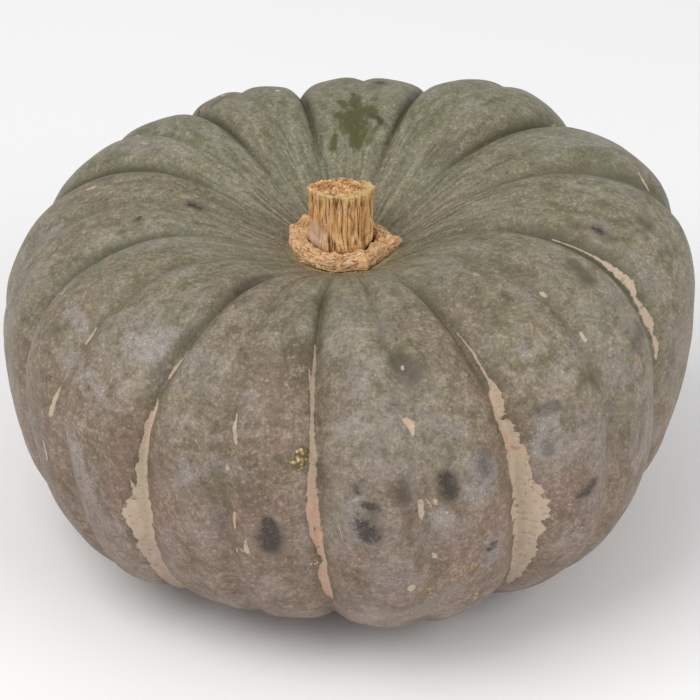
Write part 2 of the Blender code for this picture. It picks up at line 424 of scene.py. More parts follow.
# %% [markdown]
# ## The skin's mesh
#
# A UV sphere has meridians and rings, which is how a pumpkin grows, so it is the natural start. Its
# vertices crowd towards the grooves and the creases, where the form bends most. Each vertex is then moved
# to its place by the formula. The middle of the finished box is put where the solid's middle is.

# %% Raise the skin from a sphere
COLUMNS_PER_LOBE = 48
RINGS = 200
COLUMN_CROWDING = 0.5
columns = COLUMNS_PER_LOBE * len(LOBES)

ball = bmesh.new()
bmesh.ops.create_uvsphere(ball, u_segments=columns, v_segments=RINGS, radius=1.0)
skin_mesh = bpy.data.meshes.new("fruit_skin")
ball.to_mesh(skin_mesh)
ball.free()
on_ball = np.empty(len(skin_mesh.vertices) * 3)
skin_mesh.vertices.foreach_get("co", on_ball)
on_ball = on_ball.reshape(-1, 3)

t_of = np.arccos(np.clip(on_ball[:, 2], -1.0, 1.0)) / np.pi
turn = np.arctan2(on_ball[:, 0], -on_ball[:, 1]) / (2 * np.pi)
lobe_of, place = np.divmod(np.round(turn * columns).astype(int) % columns, COLUMNS_PER_LOBE)
even = place / COLUMNS_PER_LOBE
s_of = even - COLUMN_CROWDING * np.sin(4 * np.pi * even) / (4 * np.pi)

skin_at, azimuth_of, folds_of = skin_points(lobe_of, s_of, t_of)
fruit_low, fruit_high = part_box("fruit")
middle = (skin_at.min(axis=0) + skin_at.max(axis=0)) / 2
shift = np.array([*((fruit_low + fruit_high) / 2)[:2], fruit_low.z + middle[2]]) - middle
skin_at = skin_at + shift
print(len(skin_at), "vertices, moved by", (shift / MM).round(2), "mm to sit on the solid")

# %% [markdown]
# ## Where the marks are
#
# Many marks on this skin have a place of their own: pale cork scars along the grooves where the rind has
# split, dark bruises and fainter smudges, rusty pricks and cracks, brown patches, an olive blotch, and
# whitish bloom. They could be painted on the unwrapped skin. Here each is a stroke instead, a line of
# points with a half width at each, because a stroke's distance field is smooth and the material can give it
# a torn or a soft edge at any size.
#
# A stroke's points are read off the photo in its pixels, and a ray from the camera finds each one's place
# on the fruit. From there on the stroke belongs to the fruit. Half widths are in millimetres.

# %% Find a pixel's place on the skin
skin_mesh.vertices.foreach_set("co", skin_at.ravel())
skin_mesh.update()
faces = [tuple(face.vertices) for face in skin_mesh.polygons]
skin_tree = BVHTree.FromPolygons(skin_at.tolist(), faces)


def on_skin(pixel_x, pixel_y):
    """The point of the skin that the camera sees at a pixel of the photo."""
    found = skin_tree.ray_cast(eye, sight_line(pixel_x, pixel_y))[0]
    if found is None:
        print("beside the fruit, so its nearest point is taken:", (pixel_x, pixel_y))
        found = skin_tree.find_nearest(eye + sight_line(pixel_x, pixel_y) * CAMERA_DISTANCE)[0]
    return np.array(found)


def from_photo(strokes):
    """The same strokes with points on the skin for the pixels."""
    return [[(on_skin(x, y), half_width) for x, y, half_width in stroke] for stroke in strokes]


print("the stem's foot is seen at", on_skin(345, 285).round(3))

# %% List the scars of the photographed side
CORK_SCARS = (
    # Front groove
    ((315, 344, 0.6), (314, 366, 0.8), (312, 392, 1.3), (312, 407, 1.1), (312, 427, 0.9), (312, 437, 1.6),
     (313, 469, 2.0), (312, 487, 2.4), (312, 512, 2.9), (315, 527, 2.7), (321, 551, 1.7),
     (325, 562, 1.7), (322, 571, 2.2), (325, 580, 2.6), (329, 591, 2.2), (332, 598, 1.2)),
    ((309, 368, 0.4), (310, 390, 0.6)),
    # Left front groove
    ((189, 350, 0.6), (180, 363, 1.4), (173, 373, 1.2), (168, 380, 0.5)),
    ((158, 398, 0.6), (156, 410, 1.6), (151, 423, 2.2), (147, 440, 2.0), (143, 456, 2.3), (141, 473, 2.8),
     (142, 484, 2.2), (138, 500, 5.2), (137, 510, 6.4), (140, 524, 5.8), (145, 540, 4.2),
     (156, 562, 3.2), (164, 574, 2.7), (176, 584, 2.2), (186, 588, 1.6)),
    ((129, 484, 1.0), (131, 488, 0.7)),
    # Right front groove
    ((456, 331, 0.3), (473, 352, 0.5), (483, 370, 0.6), (488, 379, 1.0), (494, 388, 2.2), (497, 398, 3.0),
     (496, 409, 3.4), (499, 421, 3.3), (507, 435, 4.8), (512, 448, 6.2), (516, 461, 6.0),
     (520, 474, 4.8), (526, 486, 6.0), (531, 504, 8.8), (530, 517, 8.4), (526, 534, 6.0),
     (523, 556, 4.6), (516, 571, 3.0), (508, 583, 1.2)),
    # Right groove
    ((551, 239, 0.25), (571, 246, 0.4), (585, 252, 0.3), (600, 260, 0.8), (619, 274, 2.0), (631, 285, 2.2),
     (635, 298, 0.9), (641, 307, 1.4), (646, 316, 2.6), (651, 326, 2.0), (652, 335, 0.7),
     (657, 344, 1.8), (656, 360, 0.8)),
    ((638, 172, 0.5), (643, 180, 1.0), (649, 191, 0.6)),
    ((655, 208, 0.3), (664, 222, 0.4), (668, 232, 0.5)),
    # Short dashes along the creases and grooves of the left side
    ((97, 327, 0.6), (91, 337, 0.9), (85, 345, 0.6)),
    ((60, 388, 0.6), (54, 402, 1.3), (50, 416, 0.9)),
    ((43, 440, 0.6), (46, 452, 1.0), (47, 461, 0.6)),
    ((66, 289, 0.4), (60, 296, 0.5)),
    # Dashes and spots of the front
    ((237, 413, 0.7), (235, 426, 1.0), (234, 440, 0.7)),
    ((227, 466, 1.2), (228, 470, 1.0)),
    ((235, 511, 0.8), (234, 520, 1.3), (235, 528, 0.9)),
    ((240, 502, 0.5), (241, 503, 0.6)),
    ((245, 539, 0.6), (247, 553, 1.5)),
    ((237, 548, 0.5), (237, 553, 0.7)),
    ((237, 432, 0.5), (236, 444, 0.8)),
    ((311, 563, 0.9), (311, 565, 0.8)),
    ((337, 520, 0.35), (340, 530, 0.45), (344, 545, 0.3)),
    ((350, 569, 0.35), (358, 575, 0.4)),
    ((435, 499, 1.1), (436, 504, 1.2)),
    ((404, 420, 1.6), (412, 426, 2.2)),
    ((412, 430, 1.2), (413, 436, 0.7)),
    ((420, 501, 1.4), (422, 519, 1.8)),
    ((433, 553, 1.0), (436, 557, 1.7)),
    ((412, 587, 2.2), (411, 590, 2.0)),
    ((402, 366, 1.0), (403, 370, 0.8)),
    ((541, 293, 1.3), (547, 297, 0.9)),
    ((580, 332, 0.9), (586, 341, 0.9)),
    ((340, 500, 0.4), (343, 502, 0.4)),
)
# Where the cork is rosy, and the small dark holes in it
ROSY_STRETCHES = (
    ((313, 480, 3.0), (314, 505, 5.0), (318, 530, 5.0), (322, 552, 3.6), (325, 572, 5.0), (331, 596, 4.0)),
    ((234, 510, 3.0), (235, 530, 3.0)),
    ((500, 424, 1.6), (512, 450, 1.6)),
    ((435, 498, 3.0), (436, 505, 3.0)),
)
SCAR_HOLES = (
    ((312, 513, 0.9), (312, 516, 0.8)),
    ((315, 528, 0.9), (315, 531, 0.8)),
    ((308, 520, 0.6), (308, 522, 0.6)),
    ((491, 403, 1.1), (492, 407, 1.0)),
    ((318, 545, 0.5), (319, 548, 0.5)),
)
print(len(CORK_SCARS), "scars")

# %% List the other marks of the photographed side
# Dark bruises, and smudges that are fainter
BRUISES = (
    ((269, 521, 3.6), (270, 532, 7.6), (270, 540, 8.6), (270, 546, 7.4)),
    ((363, 526, 8.0), (368, 534, 8.4)),
    ((355, 486, 2.6), (356, 492, 2.2)),
    ((365, 506, 3.6), (374, 508, 4.4)),
    ((446, 478, 6.0), (450, 494, 6.6)),
    ((578, 496, 2.6), (588, 490, 5.0), (595, 481, 3.8)),
    ((489, 549, 3.0), (494, 544, 3.2)),
    ((191, 205, 2.6), (201, 209, 2.4)),
    ((137, 220, 1.8), (139, 219, 1.8)),
    ((594, 229, 2.4), (601, 232, 2.6)),
)
SMUDGES = (
    ((195, 207, 8.0), (190, 205, 5.0)),
    ((137, 220, 2.4), (139, 219, 2.4)),
    ((573, 263, 6.0), (588, 280, 7.0)),
    ((592, 227, 4.0), (598, 229, 4.6), (612, 238, 5.0)),
    ((643, 222, 6.0), (649, 228, 5.0)),
    ((668, 250, 4.0), (670, 256, 3.6)),
    ((592, 378, 4.0), (593, 380, 4.0)),
    ((398, 360, 7.0), (412, 376, 7.0)),
    ((640, 330, 7.0), (636, 345, 7.0)),
    ((402, 486, 5.4), (404, 500, 5.4)),
    ((547, 443, 5.0), (549, 452, 5.0)),
    # This smudge darkens the front-left groove beside the stem: partly brown skin, partly painted shade.
    ((272, 275, 3.0), (252, 284, 6.0), (238, 293, 5.0)),
    ((540, 412, 4.4), (556, 406, 4.4)),
    ((484, 460, 6.4), (486, 470, 6.0)),
    ((222, 98, 5.0), (214, 104, 4.0)),
    ((372, 116, 3.0), (386, 125, 3.4)),
)
BROWN_PATCHES = (
    # This patch browns the same groove beside the stem: partly brown skin, partly painted shade.
    ((252, 282, 8.0), (236, 300, 9.0)),
    ((204, 104, 4.4), (199, 109, 4.0)),
    ((400, 368, 9.0), (414, 372, 9.0)),
    ((484, 456, 7.0), (485, 468, 6.0)),
    ((448, 480, 7.0), (447, 500, 6.0)),
    ((182, 186, 8.0), (200, 190, 8.0)),
    ((400, 490, 7.0), (402, 500, 6.0)),
    ((440, 155, 12.0), (455, 150, 10.0)),
    ((190, 345, 9.0), (160, 380, 9.0)),
    ((250, 470, 10.0), (250, 500, 10.0)),
    ((300, 350, 10.0), (290, 380, 10.0)),
)
RUST = (
    ((451, 580, 1.1), (462, 573, 0.8), (470, 567, 1.2), (481, 563, 1.0)),
    ((430, 587, 1.1), (431, 598, 1.0)),
    ((475, 600, 1.0), (478, 590, 0.9)),
    ((233, 306, 1.2), (231, 311, 1.4)),
    ((167, 229, 1.2), (168, 231, 1.2)),
    ((106, 260, 0.8), (109, 256, 0.6)),
    ((74, 222, 0.7), (61, 232, 0.7)),
    ((441, 307, 0.9), (442, 308, 0.9)),
    ((636, 358, 0.9), (642, 369, 0.8)),
    ((201, 109, 2.2), (206, 105, 2.0)),
    ((556, 124, 1.0), (558, 128, 1.0)),
    ((569, 504, 0.9), (571, 507, 0.8)),
    ((575, 519, 0.8), (577, 523, 0.9)),
    ((581, 527, 0.9), (582, 530, 0.7)),
    ((554, 482, 0.9), (555, 485, 0.8)),
    ((300, 222, 0.5), (290, 236, 0.4)),
)
WART = ((299, 462, 3.8), (302, 453, 3.8))
# Whitish bloom, and a haze that is the same but thinner
BLOOM = (
    ((132, 345, 9.0), (152, 350, 9.0), (172, 328, 5.0)),
    ((70, 310, 6.0), (80, 324, 6.0)),
    ((182, 478, 6.0), (184, 466, 6.0)),
    ((482, 470, 11.0), (480, 490, 11.0)),
    ((548, 416, 8.0), (546, 446, 9.0)),
    ((526, 352, 5.0), (523, 348, 4.0)),
    ((494, 547, 8.0), (488, 562, 7.0)),
    ((357, 505, 7.0), (362, 536, 10.0)),
    ((436, 516, 5.0), (446, 520, 5.0)),
)
HAZE = (
    ((192, 366, 12.0), (210, 392, 12.0)),
    ((75, 362, 12.0), (105, 405, 12.0)),
    ((80, 460, 12.0), (96, 500, 12.0), (115, 530, 8.0)),
    ((244, 400, 9.0), (248, 430, 8.0)),
    ((590, 505, 14.0), (572, 535, 14.0)),
    ((640, 460, 12.0), (606, 540, 12.0)),
    ((352, 390, 12.0), (350, 430, 12.0)),
    ((60, 420, 10.0), (75, 450, 10.0)),
)
GREEN_BLOTCHES = (
    ((354, 94, 2.8), (356, 101, 4.4), (357, 108, 5.6)),
    ((350, 115, 7.0), (360, 114, 9.6), (370, 111, 6.4)),
    ((352, 122, 9.6), (359, 126, 11.0), (359, 136, 8.0), (358, 146, 3.4)),
    ((337, 115, 3.6), (346, 116, 5.4)),
    ((340, 101, 2.6), (346, 107, 2.8)),
    ((375, 116, 2.8), (382, 121, 2.6)),
    ((335, 136, 2.4), (333, 148, 2.6)),
)
print(len(BRUISES), "bruises,", len(RUST), "rusty marks,", len(BLOOM), "patches of bloom")

# %% [markdown]
# The photo doesn't show the back and the underside. They get marks of the same kinds and sizes, drawn at
# random from a seed: scars along the grooves there, and dashes, spots, bruises, bloom and rust anywhere.
# The blossom end gets the round tan scar that every pumpkin has where its flower was.

# %% Invent the marks of the hidden side
HIDDEN_GROOVES = (3, 4, 5, 6, 7)
HIDDEN_SPOTS = 60
HIDDEN_BRUISES = 16
HIDDEN_BLOOM = 12
HIDDEN_RUST = 12
BLOSSOM_SCAR_RADIUS = 7.5
SCAR_START = (0.34, 0.50)
SCAR_END = (0.60, 0.76)
SCAR_HALF_WIDTH = (0.6, 4.8)
SCAR_POINTS = 9
SPOT_RANGE = (0.2, 0.86)
SPOT_LENGTH = (0.002, 0.014)
draw = np.random.default_rng(7)


def groove_point(lobe, t, s=0.0):
    """A point of the skin a share s across a lobe."""
    return skin_points(np.array([lobe]), np.array([s]), np.array([t]))[0][0] + shift


def hidden_scar(lobe):
    """A scar that wanders down a groove, widening and narrowing."""
    steps = np.linspace(draw.uniform(*SCAR_START), draw.uniform(*SCAR_END), SCAR_POINTS)
    widths = draw.uniform(*SCAR_HALF_WIDTH, SCAR_POINTS) * np.sin(np.linspace(0.15, 3.0, SCAR_POINTS))
    return [(groove_point(lobe, t), width) for t, width in zip(steps, widths)]


def hidden_spot(low, high):
    """A short dash somewhere on the back, with a half width between two limits."""
    t, lobe, s = draw.uniform(*SPOT_RANGE), draw.choice(HIDDEN_GROOVES), draw.uniform(0.05, 0.95)
    length, width = draw.uniform(*SPOT_LENGTH), draw.uniform(low, high)
    return [(groove_point(lobe, t, s), width), (groove_point(lobe, t + length, s), width * 0.8)]


print("the back has", len(HIDDEN_GROOVES), "scarred grooves and", HIDDEN_SPOTS, "spots")

# %% [markdown]
# A thin line between two rows of vertices would be lost if each vertex kept only its distance to the line,
# because the line itself, where the distance is 0, falls between them. So each vertex keeps on which side
# of the line it lies too, as a signed distance. Between a vertex at -1 mm and one at 1 mm the material then
# finds the 0, and with the half width, which is kept beside it, draws a mark that may be finer than the
# mesh.

# %% Measure every vertex against the strokes
FAR = 99.0
MARK_REACH = 2.5
MEASURED_BEYOND = 5.0
END_TAPER = 1.5
OUTSIDE_TAPER = 20

normals = np.empty(len(skin_at) * 3)
skin_mesh.vertices.foreach_get("normal", normals)
normals = normals.reshape(-1, 3)


def spans(strokes, reach):
    """Each span of each stroke: the vertices near it, their distance in mm, and its half width there."""
    for stroke in strokes:
        for (a, wide_a), (b, wide_b) in zip(stroke, stroke[1:]):
            run = b - a
            length = np.linalg.norm(run)
            room = length / 2 + (max(wide_a, wide_b) + reach) * MM
            near = np.flatnonzero(np.abs(skin_at - (a + b) / 2).max(axis=1) < room)
            along = (skin_at[near] - a) @ run / length**2
            on_span = np.clip(along, 0.0, 1.0)
            away = skin_at[near] - a - on_span[:, None] * run
            beyond = np.abs(along - on_span) * length
            yield near, away / MM, run, beyond / MM, wide_a + (wide_b - wide_a) * on_span


def line_marks(strokes):
    """(signed distance from the nearest stroke's middle, its half width there) of each vertex, in mm."""
    side = np.full(len(skin_at), FAR)
    half = np.full(len(skin_at), -FAR)
    nearest = np.full(len(skin_at), FAR)
    for near, away, run, beyond, wide in spans(strokes, MARK_REACH + MEASURED_BEYOND):
        gap = np.linalg.norm(away, axis=1)
        sideways = np.sqrt(np.maximum(gap**2 - beyond**2, 0.0))
        turn_of = np.sign(np.einsum("ij,ij->i", away, np.cross(normals[near], run)))
        nearer = gap - wide < nearest[near]
        chosen = near[nearer]
        nearest[chosen] = (gap - wide)[nearer]
        side[chosen] = (sideways * turn_of)[nearer]
        fading = END_TAPER * beyond + OUTSIDE_TAPER * np.maximum(gap - wide - MARK_REACH, 0.0)
        half[chosen] = np.maximum(wide - fading, -FAR)[nearer]
    return side, half


def soft_marks(strokes, fullness=1.6):
    """1 in the middle of a stroke, 0 at its edge. With more fullness the fading starts nearer the edge."""
    share = np.zeros(len(skin_at))
    for near, away, run, beyond, wide in spans(strokes, 0.0):
        share[near] = np.maximum(share[near], 1 - np.linalg.norm(away, axis=1) / wide)
    return ease(share * fullness)


print("strokes can be measured within", MARK_REACH + MEASURED_BEYOND, "mm of their edges")

# %% Draw the hidden marks and measure them all
STRONG_MARKS = 5
HAZE_STRENGTH = 0.62

hidden_scars = [hidden_scar(lobe) for lobe in HIDDEN_GROOVES]
hidden_spots = [hidden_spot(0.4, 1.5) for _ in range(HIDDEN_SPOTS)]
hidden_bruises = [hidden_spot(3.0, 6.0) for _ in range(HIDDEN_BRUISES)]
hidden_bloom = [hidden_spot(7.0, 13.0) for _ in range(HIDDEN_BLOOM)]
hidden_rust = [hidden_spot(0.4, 1.1) for _ in range(HIDDEN_RUST)]
blossom_end = groove_point(0, 1.0)
blossom_scar = [(blossom_end, BLOSSOM_SCAR_RADIUS), (blossom_end + [0.001, 0, 0], BLOSSOM_SCAR_RADIUS)]

marks = {
    "bruise": soft_marks([*from_photo(BRUISES), *hidden_bruises[:STRONG_MARKS]], fullness=1.2),
    "smudge": soft_marks([*from_photo(SMUDGES), *hidden_bruises[STRONG_MARKS:]], fullness=1.2),
    "rosy": soft_marks(from_photo(ROSY_STRETCHES), fullness=2.5),
    "wart": soft_marks(from_photo([WART])),
    "green": soft_marks(from_photo(GREEN_BLOTCHES), fullness=1.1),
    "brown": soft_marks(from_photo(BROWN_PATCHES)),
}
bloom = soft_marks([*from_photo(BLOOM), *hidden_bloom[:STRONG_MARKS]])
haze = soft_marks([*from_photo(HAZE), *hidden_bloom[STRONG_MARKS:]], fullness=1.2)
marks["bloom"] = np.maximum(bloom, haze * HAZE_STRENGTH)
for name, strokes in {
    "scar": [*from_photo(CORK_SCARS), *hidden_scars, *hidden_spots, blossom_scar],
    "rust": [*from_photo(RUST), *hidden_rust],
    "hole": from_photo(SCAR_HOLES),
}.items():
    marks[name + "_side"], marks[name + "_half"] = line_marks(strokes)
scar_depth = marks["scar_half"] - np.abs(marks["scar_side"])
rust_depth = marks["rust_half"] - np.abs(marks["rust_side"])
print("vertices in scars:", int((scar_depth > 0).sum()), "in bruises:", int((marks["bruise"] > 0.2).sum()))

# %% [markdown]
# The scars are shallow: the rind has drawn back and the cork lies a little below it. The wart stands up.
# Both are moved in the mesh along the vertex normals, and the values for the material are kept on the
# vertices.

# %% Carve the marks
SCAR_SINK = 0.00035
SCAR_BANK = 1.2
WART_RISE = 0.0016
RUST_SINK = 0.0003
RUST_BANK = 0.8
FLOOR_BAND = 0.001

rise = WART_RISE * marks["wart"] - SCAR_SINK * ease(scar_depth / SCAR_BANK)
rise = rise - RUST_SINK * ease(rust_depth / RUST_BANK)
off_floor = np.where(skin_at[:, 2] > FLOOR_BAND, 1.0, 0.0)
skin_at = skin_at + normals * (rise * off_floor)[:, None]
skin_mesh.vertices.foreach_set("co", skin_at.ravel())
print("the deepest scar lies", round(-rise.min() / MM, 2), "mm below the rind")

# %% Keep the values on the mesh
WRINKLED_START = 0.022
WRINKLED_REACH = 0.085
COLLAR_EDGE = 0.0215
COLLAR_EDGE_BAND = 0.0045
DRUM_LENGTH = 1.6


def keep_value(mesh, name, values):
    """Keeps a number for each vertex, for the material to read."""
    mesh.attributes.new(name, "FLOAT", "POINT").data.foreach_set("value", values)


def keep_place(mesh, name, places):
    """Keeps a place for each vertex, for the material to read."""
    mesh.attributes.new(name, "FLOAT_VECTOR", "POINT").data.foreach_set("vector", places.ravel())


seat = groove_point(0, 0.0)
from_seat = np.hypot(skin_at[:, 0] - seat[0], skin_at[:, 1] - seat[1])
marks["near_stem"] = np.where(t_of < 0.5, 1 - ease((from_seat - WRINKLED_START) / WRINKLED_REACH), 0.0)
marks["by_collar"] = np.where(t_of < 0.5, 1 - ease((from_seat - COLLAR_EDGE) / COLLAR_EDGE_BAND), 0.0)
for name, values in {**folds_of, **marks}.items():
    keep_value(skin_mesh, name, values)
keep_place(skin_mesh, "drum", on_drum(azimuth_of, t_of, DRUM_LENGTH))
skin_mesh.shade_smooth()
print("values on each vertex:", len(skin_mesh.attributes))

# %% [markdown]
# ## The skin's finish
#
# Seen close, the rind is a warm grey-green with a net of darker green between pale buff flecks. The top is
# greener, and the front and the belly are browner, with a mauve tinge low down. One noise can't do this,
# because it looks like a cloud at any strength. So four sizes of noise are laid over each other, each with
# its own colour. Those that follow the growth of the fruit read the drum, so they run together towards the
# stem.
#
# The noises are made once and kept together, because the marks take their torn edges from the same ones.
# Then each step below adds its colours to those of the step before.

# %% Make the noises of the rind
def skin_noises(f):
    """The noises that the rind's colours and marks share, from large to small."""
    place = f.place()
    drum = f.attribute("drum", "Vector")
    return SimpleNamespace(
        place=place,
        height=f.node("ShaderNodeSeparateXYZ", {}, {"Vector": place}, "Z"),
        depth=f.node("ShaderNodeSeparateXYZ", {}, {"Vector": place}, "Y"),
        near_stem=f.attribute("near_stem"),
        patches=f.noise(place, 0.045, 3),
        clouds=f.noise(drum, 0.019, 3, 0.6),
        hues=f.noise(drum, 0.015, 3, 0.6),
        mottle=f.noise(drum, 0.0064, 3, 0.6),
        flecks=f.noise(place, 0.0028, 3, 0.65),
        dust=f.noise(place, 0.0012, 2, 0.7),
        glints=f.noise(place, 0.0008, 1, 0.6),
        streaks=f.noise(f.stretch(drum, (1, 1, 0.09)), 0.0036, 3, 0.6),
        teeth=f.noise(f.stretch(drum, (0.22, 0.22, 1.0)), 0.0021, 2, 0.6),
        fibres=f.noise(f.stretch(drum, (1, 1, 0.25)), 0.0024, 3, 0.6),
        strands=f.noise(f.stretch(drum, (0.25, 0.25, 1)), 0.0011, 3, 0.65),
    )


def torn_edge(f, name, waves, teeth, flecks):
    """How far inside a line mark a place is, in mm, with a torn edge in proportion to the mark's width."""
    half = f.attribute(name + "_half")
    ragged = (waves - 0.5) * 5.0 + (teeth - 0.5) * 2.4 + (flecks - 0.5) * 2.6
    return half - abs(f.attribute(name + "_side")) + ragged * (f.ramp(half, 0.2, 5.0) * 0.9 + 0.16)


print("the noises' features measure from 45 down to 0.8 mm")

# %% Colour the bare rind
SAGE = (0.181, 0.190, 0.114)
UMBER = (0.222, 0.150, 0.112)
OLIVE_BROWN = (0.125, 0.108, 0.058)
BROWN = (0.100, 0.072, 0.044)
LILAC_GREY_AND_SHEEN = (0.300, 0.250, 0.232)
DEEP_GREEN = (0.045, 0.050, 0.020)
NET = (0.060, 0.045, 0.030)
BUFF = (0.470, 0.395, 0.280)
PORES_PER_METRE = 240


def bare_rind(f, n):
    """Green above, brown below, pale lilac patches (partly mauve rind, partly painted sheen), mottled,
    streaks near the stem.
    """
    greenness = f.ramp(n.height * 4.6 + n.depth * 1.3 + (n.patches - 0.5), 0.18, 0.90)
    lilac_and_sheen = f.ease(n.patches + (n.hues - 0.5) * 0.9, 0.46, 0.66) * (1 - n.near_stem)
    brown = f.attribute("brown") + (n.mottle - 0.5) * 1.8 + (n.flecks - 0.5) * 0.8
    tone = (n.clouds - 0.5) + (n.mottle - 0.5) * 1.4 + (n.flecks - 0.5) * 1.9 + (n.dust - 0.5) * 2.5
    pores = f.cells(n.place, PORES_PER_METRE)
    return f.layers(
        UMBER,
        (SAGE, greenness),
        (OLIVE_BROWN, f.ease(n.hues + (n.mottle - 0.5) * 0.9, 0.52, 0.28) * 0.46),
        # Pale lilac patches placed by noise away from the stem: partly the rind's mauve, partly painted
        # sheen.
        (LILAC_GREY_AND_SHEEN, lilac_and_sheen * 0.45),
        (BROWN, f.ease(brown, 0.10, 1.10) * 0.46),
        (BUFF, f.ramp(tone, 0.05, 1.45)),
        (NET, f.ramp(tone, 0.0, -1.45)),
        (BUFF, f.ease(pores, 0.26, 0.10) * f.ease(n.hues, 0.40, 0.62) * 0.42),
        (DEEP_GREEN, f.ease(n.streaks, 0.50, 0.34) * n.near_stem * 0.36),
        (BUFF, f.ease(n.streaks, 0.53, 0.68) * n.near_stem * 0.30),
    )


print("a pore about every", round(1000 / PORES_PER_METRE), "mm")

# %% [markdown]
# The grooves and creases get painted shade: dark green in the upper half, and lower down only a little
# browner than the ribs, with a darker line along the bottom of each groove. The olive blotch on the back lobe
# is where the rind was rubbed.

# %% Paint shade into the grooves and add the blotch
BLOTCH_GREEN = (0.070, 0.067, 0.012)


def groove_shade_and_blotch(f, n, colour):
    """The colour with painted shade in the folds and the olive blotch."""
    upper = f.ease(n.height + n.depth * 0.35, 0.090, 0.155)
    groove, line, green = f.attribute("groove"), f.attribute("fold_line"), f.attribute("green")
    folds = groove * (groove * 0.5 + 0.4) + f.attribute("crease") * 0.40 + (n.clouds - 0.5) * 0.6
    blotch = f.ease(green + (n.mottle - 0.5) * 2.8 + (n.flecks - 0.5) * 1.6, 0.10, 0.80)
    return f.layers(
        colour,
        # Painted shade in the grooves, the creases and along each groove's bottom line, strongest in the
        # upper half.
        (OLIVE_BROWN, f.ease(folds, 0.0, 0.7) * (upper * 0.42 + 0.16)),
        (DEEP_GREEN, f.ease(folds + (n.mottle - 0.5) * 0.4, 0.15, 0.95) * upper * 0.84),
        (DEEP_GREEN, line * upper * 0.42),
        (NET, line * 0.16),
        (BLOTCH_GREEN, blotch * f.ease(green, 0.0, 0.15) * 0.86),
    )


print("blotch:", BLOTCH_GREEN)

# %% [markdown]
# Bloom is a whitish dust of wax, with tiny painted glints in it: bright specks that stand in for light
# glancing off the wax. Smudges and bruises are the same slate colour at two strengths, with frayed edges
# and a few painted glints too. Each is kept to its own strokes by a second, narrower fade, or the noise
# alone would scatter specks of it over the whole skin. A yellowish line runs round the collar's edge.

# %% Add bloom, painted glints, smudges and bruises
FROST = (0.340, 0.312, 0.312)
PAINTED_GLINT = (0.640, 0.630, 0.640)
SLATE = (0.030, 0.022, 0.019)
RIM_YELLOW = (0.400, 0.360, 0.170)


def bloom_and_bruises(f, n, colour):
    """(how much bloom there is, the colour with bloom, painted glints, smudges, bruises and the line round
    the collar).
    """
    bloom = f.attribute("bloom") + (n.mottle - 0.5) * 1.9 + (n.clouds - 0.5) * 1.6
    haze = f.ease(bloom + (n.flecks - 0.5) * 1.6, 0.15, 1.25)
    smudge = f.attribute("smudge")
    dusky = f.ease(smudge + (n.mottle - 0.5) * 1.5 + (n.dust - 0.5) * 2.0, 0.15, 1.25)
    bruise = f.attribute("bruise")
    frayed = (n.mottle - 0.5) * 1.2 + (n.flecks - 0.5) * 1.8 + (n.dust - 0.5) * 1.4
    rim_line = f.ease(f.attribute("by_collar") + (n.flecks - 0.5) * 0.6, 0.35, 0.95)
    return haze, f.layers(
        colour,
        (FROST, haze * 0.40),
        # Painted glints: bright specks in the bloom.
        (PAINTED_GLINT, f.ease(n.glints, 0.60, 0.72) * f.ease(bloom, 0.40, 1.1) * 0.55),
        (SLATE, dusky * f.ease(smudge, 0.0, 0.2) * 0.52),
        (SLATE, f.ease(bruise + frayed, 0.08, 1.05) * f.ease(bruise, 0.0, 0.15) * 0.86),
        # Painted glints in the bruises.
        (FROST, f.ease(n.glints, 0.58, 0.70) * f.ease(bruise, 0.0, 0.4) * 0.22),
        (RIM_YELLOW, rim_line * 0.75),
    )


print("slate:", SLATE)

# %% [markdown]
# Rust is a crumbly crust with buff grains. The wart is a cluster of golden grains with dark gaps, which a
# cell pattern gives. The cork of the scars is pale above and greyer below, rosy in some stretches, with
# strands across and along it and a darker torn edge.

# %% Add rust, the wart and the cork of the scars
RUSTY = (0.300, 0.140, 0.050)
WART_GOLD = (0.330, 0.240, 0.090)
WART_GRAINS_PER_METRE = 560
CORK_PALE = (0.510, 0.405, 0.300)
CORK_ROSY = (0.580, 0.335, 0.230)
CORK_GREY = (0.450, 0.350, 0.290)
CORK_LIGHT = (0.600, 0.490, 0.360)
CORK_EDGE = (0.210, 0.160, 0.110)


def rust_and_wart(f, n, colour):
    """The colour with the rusty marks and the wart."""
    rust = f.ease(torn_edge(f, "rust", n.flecks, n.flecks, n.dust), -0.15, 0.25)
    crust = f.blend(RUSTY, BUFF, f.ease(n.dust, 0.44, 0.58) * 0.8)
    grains = f.cells(n.place, WART_GRAINS_PER_METRE)
    gold = f.blend(CORK_LIGHT, WART_GOLD, f.ease(grains, 0.18, 0.30))
    gold = f.blend(gold, NET, f.ease(grains, 0.40, 0.58) * 0.8)
    wart = f.attribute("wart")
    warty = f.ease(wart + (n.flecks - 0.5) * 1.6, 0.20, 0.5) * f.ease(wart, 0.0, 0.1)
    return f.layers(colour, (crust, rust * (f.ease(n.flecks, 0.38, 0.56) * 0.75 + 0.2)), (gold, warty))


